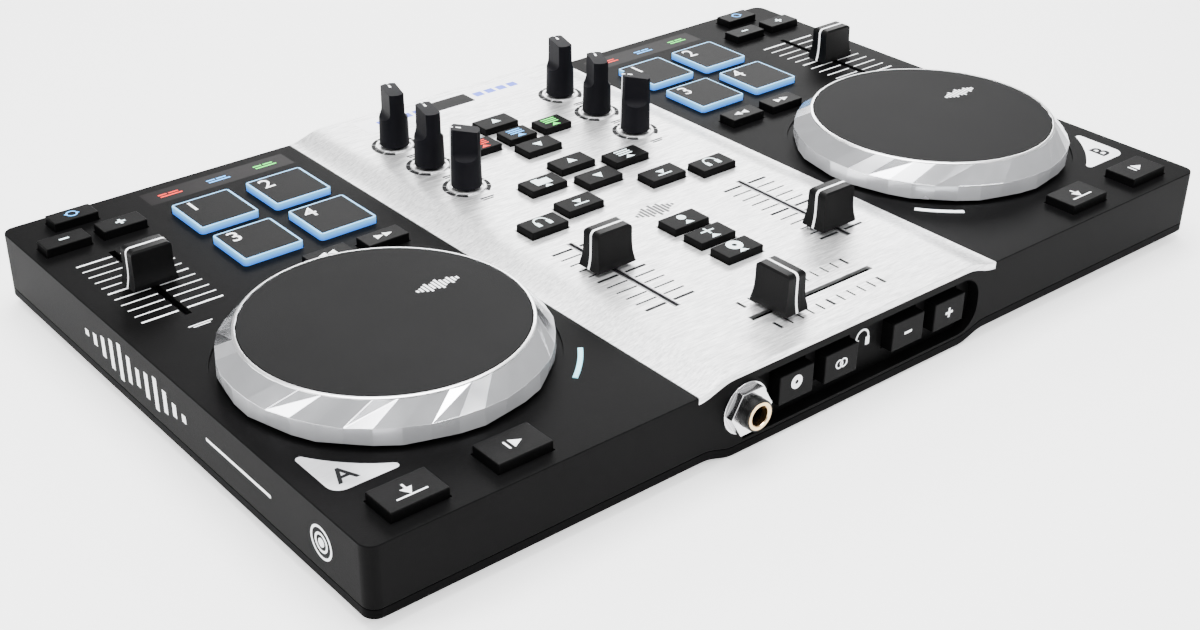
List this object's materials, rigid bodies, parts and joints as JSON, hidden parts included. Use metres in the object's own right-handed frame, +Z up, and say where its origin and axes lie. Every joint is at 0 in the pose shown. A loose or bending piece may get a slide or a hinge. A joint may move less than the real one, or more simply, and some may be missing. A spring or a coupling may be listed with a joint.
{
  "type": "dj controller",
  "caption": "Tabletop controller with a jog wheel, pads and pitch fader on each side of a brushed metal mixer strip.",
  "frame": {"origin": "centre of the bounding box at the feet", "axes": "+X to the right deck, +Y to the back panel, +Z up"},
  "size_m": [0.338, 0.223, 0.0499],
  "materials": {
    "case_dark": "fine matte texture, charcoal",
    "case_base": "fine matte texture, black",
    "plate": "brushed along the width, clear anodised",
    "chrome_ring": "bright chrome",
    "touch_disc": "matte soft-touch coating",
    "knob_rubber": "soft-touch rubber",
    "cap_plastic": "satin black",
    "pad_silicone": "backlit translucent silicone under a black top",
    "key_plastic": "satin",
    "key_rubber": "satin silicone",
    "board": "green solder mask",
    "pot_metal": "stamped",
    "bearing_plastic": "natural acetal",
    "socket_black": "moulded",
    "nickel": "nickel plated",
    "usb_metal": "tin plated",
    "foot_rubber": "matte",
    "screw_steel": "black zinc",
    "silver_trim": "satin",
    "beat_light": "lit diffuser",
    "smoked_window": "smoked"
  },
  "bodies": {
    "case": {"bottom_shell": "case_base", "top_shell": "case_dark", "mixer_plate": "plate", "circuit_boards": "board", "rotary_potentiometers": "pot_metal", "slide_potentiometers": "pot_metal", "wheel_bearings": "bearing_plastic", "headphone_socket": "socket_black", "socket_nut_washer": "nickel", "usb_socket": "usb_metal", "line_output_sockets": "nickel", "rubber_feet": "foot_rubber", "case_screws": "screw_steel", "deck_letter_plates": "silver_trim", "beat_lights": "beat_light", "light_windows": "smoked_window"},
    "jog_wheel_left": {"wheel_ring_left": "chrome_ring", "wheel_disc_left": "touch_disc"},
    "jog_wheel_right": {"wheel_ring_right": "chrome_ring", "wheel_disc_right": "touch_disc"},
    "treble_knob_left": {"treble_knob_left": "knob_rubber"},
    "mid_knob_left": {"mid_knob_left": "knob_rubber"},
    "bass_knob_left": {"bass_knob_left": "knob_rubber"},
    "treble_knob_right": {"treble_knob_right": "knob_rubber"},
    "mid_knob_right": {"mid_knob_right": "knob_rubber"},
    "bass_knob_right": {"bass_knob_right": "knob_rubber"},
    "volume_fader_left": {"volume_fader_left": "cap_plastic"},
    "volume_fader_right": {"volume_fader_right": "cap_plastic"},
    "pitch_fader_left": {"pitch_fader_left": "cap_plastic"},
    "pitch_fader_right": {"pitch_fader_right": "cap_plastic"},
    "crossfader": {"crossfader": "cap_plastic"},
    "pad_1_left": {"pad_1_left": "pad_silicone"},
    "pad_2_left": {"pad_2_left": "pad_silicone"},
    "pad_3_left": {"pad_3_left": "pad_silicone"},
    "pad_4_left": {"pad_4_left": "pad_silicone"},
    "pad_1_right": {"pad_1_right": "pad_silicone"},
    "pad_2_right": {"pad_2_right": "pad_silicone"},
    "pad_3_right": {"pad_3_right": "pad_silicone"},
    "pad_4_right": {"pad_4_right": "pad_silicone"},
    "cue_key_left": {"cue_key_left": "key_plastic"},
    "play_key_left": {"play_key_left": "key_plastic"},
    "rewind_key_left": {"rewind_key_left": "key_plastic"},
    "forward_key_left": {"forward_key_left": "key_plastic"},
    "sync_keys_left": {"sync_keys_left": "key_plastic"},
    "cue_key_right": {"cue_key_right": "key_plastic"},
    "play_key_right": {"play_key_right": "key_plastic"},
    "rewind_key_right": {"rewind_key_right": "key_plastic"},
    "forward_key_right": {"forward_key_right": "key_plastic"},
    "sync_keys_right": {"sync_keys_right": "key_plastic"},
    "mode_keys": {"mode_keys": "key_rubber"},
    "page_keys": {"page_keys": "key_rubber"},
    "scroll_keys": {"scroll_keys": "key_rubber"},
    "browse_keys": {"browse_keys": "key_rubber"},
    "load_keys": {"load_keys": "key_rubber"},
    "listen_keys": {"listen_keys": "key_rubber"},
    "record_keys": {"record_keys": "key_rubber"},
    "headphone_cue_key": {"headphone_cue_key": "key_rubber"},
    "headphone_mix_key": {"headphone_mix_key": "key_rubber"},
    "headphone_down_key": {"headphone_down_key": "key_rubber"},
    "headphone_up_key": {"headphone_up_key": "key_rubber"}
  },
  "joints": [
    {"name": "jog_wheel_left_spin", "type": "hinge", "parent": "case", "child": "jog_wheel_left", "pos_m": [-0.1147, -0.0331, 0.03], "axis": [0, 0, 1], "continuous": true},
    {"name": "jog_wheel_right_spin", "type": "hinge", "parent": "case", "child": "jog_wheel_right", "pos_m": [0.1147, -0.0331, 0.03], "axis": [0, 0, 1], "continuous": true},
    {"name": "treble_knob_left_turn", "type": "hinge", "parent": "case", "child": "treble_knob_left", "pos_m": [-0.037, 0.0781, 0.04], "axis": [0, 0, 1], "range_deg": [-138, 162]},
    {"name": "mid_knob_left_turn", "type": "hinge", "parent": "case", "child": "mid_knob_left", "pos_m": [-0.037, 0.0568, 0.04], "axis": [0, 0, 1], "range_deg": [-141, 159]},
    {"name": "bass_knob_left_turn", "type": "hinge", "parent": "case", "child": "bass_knob_left", "pos_m": [-0.037, 0.0355, 0.04], "axis": [0, 0, 1], "range_deg": [-201, 99]},
    {"name": "treble_knob_right_turn", "type": "hinge", "parent": "case", "child": "treble_knob_right", "pos_m": [0.037, 0.0781, 0.04], "axis": [0, 0, 1], "range_deg": [-140, 160]},
    {"name": "mid_knob_right_turn", "type": "hinge", "parent": "case", "child": "mid_knob_right", "pos_m": [0.037, 0.0568, 0.04], "axis": [0, 0, 1], "range_deg": [-130, 170]},
    {"name": "bass_knob_right_turn", "type": "hinge", "parent": "case", "child": "bass_knob_right", "pos_m": [0.037, 0.0355, 0.04], "axis": [0, 0, 1], "range_deg": [-201, 99]},
    {"name": "volume_fader_left_slide", "type": "slide", "parent": "case", "child": "volume_fader_left", "axis": [0, 1, 0], "range_m": [-0.0284, 0.015]},
    {"name": "volume_fader_right_slide", "type": "slide", "parent": "case", "child": "volume_fader_right", "axis": [0, 1, 0], "range_m": [-0.0054, 0.038]},
    {"name": "pitch_fader_left_slide", "type": "slide", "parent": "case", "child": "pitch_fader_left", "axis": [0, 1, 0], "range_m": [-0.0205, 0.0229]},
    {"name": "pitch_fader_right_slide", "type": "slide", "parent": "case", "child": "pitch_fader_right", "axis": [0, 1, 0], "range_m": [-0.0205, 0.0229]},
    {"name": "crossfader_slide", "type": "slide", "parent": "case", "child": "crossfader", "axis": [1, 0, 0], "range_m": [-0.0077, 0.0357]},
    {"name": "pad_1_left_press", "type": "slide", "parent": "case", "child": "pad_1_left", "axis": [0, 0, 1], "range_m": [-0.001, 0], "stiffness_N_per_m": 500},
    {"name": "pad_2_left_press", "type": "slide", "parent": "case", "child": "pad_2_left", "axis": [0, 0, 1], "range_m": [-0.001, 0], "stiffness_N_per_m": 500},
    {"name": "pad_3_left_press", "type": "slide", "parent": "case", "child": "pad_3_left", "axis": [0, 0, 1], "range_m": [-0.001, 0], "stiffness_N_per_m": 500},
    {"name": "pad_4_left_press", "type": "slide", "parent": "case", "child": "pad_4_left", "axis": [0, 0, 1], "range_m": [-0.001, 0], "stiffness_N_per_m": 500},
    {"name": "pad_1_right_press", "type": "slide", "parent": "case", "child": "pad_1_right", "axis": [0, 0, 1], "range_m": [-0.001, 0], "stiffness_N_per_m": 500},
    {"name": "pad_2_right_press", "type": "slide", "parent": "case", "child": "pad_2_right", "axis": [0, 0, 1], "range_m": [-0.001, 0], "stiffness_N_per_m": 500},
    {"name": "pad_3_right_press", "type": "slide", "parent": "case", "child": "pad_3_right", "axis": [0, 0, 1], "range_m": [-0.001, 0], "stiffness_N_per_m": 500},
    {"name": "pad_4_right_press", "type": "slide", "parent": "case", "child": "pad_4_right", "axis": [0, 0, 1], "range_m": [-0.001, 0], "stiffness_N_per_m": 500},
    {"name": "cue_key_left_press", "type": "slide", "parent": "case", "child": "cue_key_left", "axis": [0, 0, 1], "range_m": [-0.001, 0], "stiffness_N_per_m": 500},
    {"name": "play_key_left_press", "type": "slide", "parent": "case", "child": "play_key_left", "axis": [0, 0, 1], "range_m": [-0.001, 0], "stiffness_N_per_m": 500},
    {"name": "rewind_key_left_press", "type": "slide", "parent": "case", "child": "rewind_key_left", "axis": [0, 0, 1], "range_m": [-0.001, 0], "stiffness_N_per_m": 500},
    {"name": "forward_key_left_press", "type": "slide", "parent": "case", "child": "forward_key_left", "axis": [0, 0, 1], "range_m": [-0.001, 0], "stiffness_N_per_m": 500},
    {"name": "sync_keys_left_press", "type": "slide", "parent": "case", "child": "sync_keys_left", "axis": [0, 0, 1], "range_m": [-0.001, 0], "stiffness_N_per_m": 1200},
    {"name": "cue_key_right_press", "type": "slide", "parent": "case", "child": "cue_key_right", "axis": [0, 0, 1], "range_m": [-0.001, 0], "stiffness_N_per_m": 500},
    {"name": "play_key_right_press", "type": "slide", "parent": "case", "child": "play_key_right", "axis": [0, 0, 1], "range_m": [-0.001, 0], "stiffness_N_per_m": 500},
    {"name": "rewind_key_right_press", "type": "slide", "parent": "case", "child": "rewind_key_right", "axis": [0, 0, 1], "range_m": [-0.001, 0], "stiffness_N_per_m": 500},
    {"name": "forward_key_right_press", "type": "slide", "parent": "case", "child": "forward_key_right", "axis": [0, 0, 1], "range_m": [-0.001, 0], "stiffness_N_per_m": 500},
    {"name": "sync_keys_right_press", "type": "slide", "parent": "case", "child": "sync_keys_right", "axis": [0, 0, 1], "range_m": [-0.001, 0], "stiffness_N_per_m": 1200},
    {"name": "mode_keys_press", "type": "slide", "parent": "case", "child": "mode_keys", "axis": [0, 0, 1], "range_m": [-0.001, 0], "stiffness_N_per_m": 1000},
    {"name": "page_keys_press", "type": "slide", "parent": "case", "child": "page_keys", "axis": [0, 0, 1], "range_m": [-0.001, 0], "stiffness_N_per_m": 1000},
    {"name": "scroll_keys_press", "type": "slide", "parent": "case", "child": "scroll_keys", "axis": [0, 0, 1], "range_m": [-0.001, 0], "stiffness_N_per_m": 1000},
    {"name": "browse_keys_press", "type": "slide", "parent": "case", "child": "browse_keys", "axis": [0, 0, 1], "range_m": [-0.001, 0], "stiffness_N_per_m": 1000},
    {"name": "load_keys_press", "type": "slide", "parent": "case", "child": "load_keys", "axis": [0, 0, 1], "range_m": [-0.001, 0], "stiffness_N_per_m": 1000},
    {"name": "listen_keys_press", "type": "slide", "parent": "case", "child": "listen_keys", "axis": [0, 0, 1], "range_m": [-0.001, 0], "stiffness_N_per_m": 1000},
    {"name": "record_keys_press", "type": "slide", "parent": "case", "child": "record_keys", "axis": [0, 0, 1], "range_m": [-0.001, 0], "stiffness_N_per_m": 1000},
    {"name": "headphone_cue_key_press", "type": "slide", "parent": "case", "child": "headphone_cue_key", "axis": [0, -1, 0], "range_m": [-0.0008, 0], "stiffness_N_per_m": 500},
    {"name": "headphone_mix_key_press", "type": "slide", "parent": "case", "child": "headphone_mix_key", "axis": [0, -1, 0], "range_m": [-0.0008, 0], "stiffness_N_per_m": 500},
    {"name": "headphone_down_key_press", "type": "slide", "parent": "case", "child": "headphone_down_key", "axis": [0, -1, 0], "range_m": [-0.0008, 0], "stiffness_N_per_m": 500},
    {"name": "headphone_up_key_press", "type": "slide", "parent": "case", "child": "headphone_up_key", "axis": [0, -1, 0], "range_m": [-0.0008, 0], "stiffness_N_per_m": 500}
  ]
}
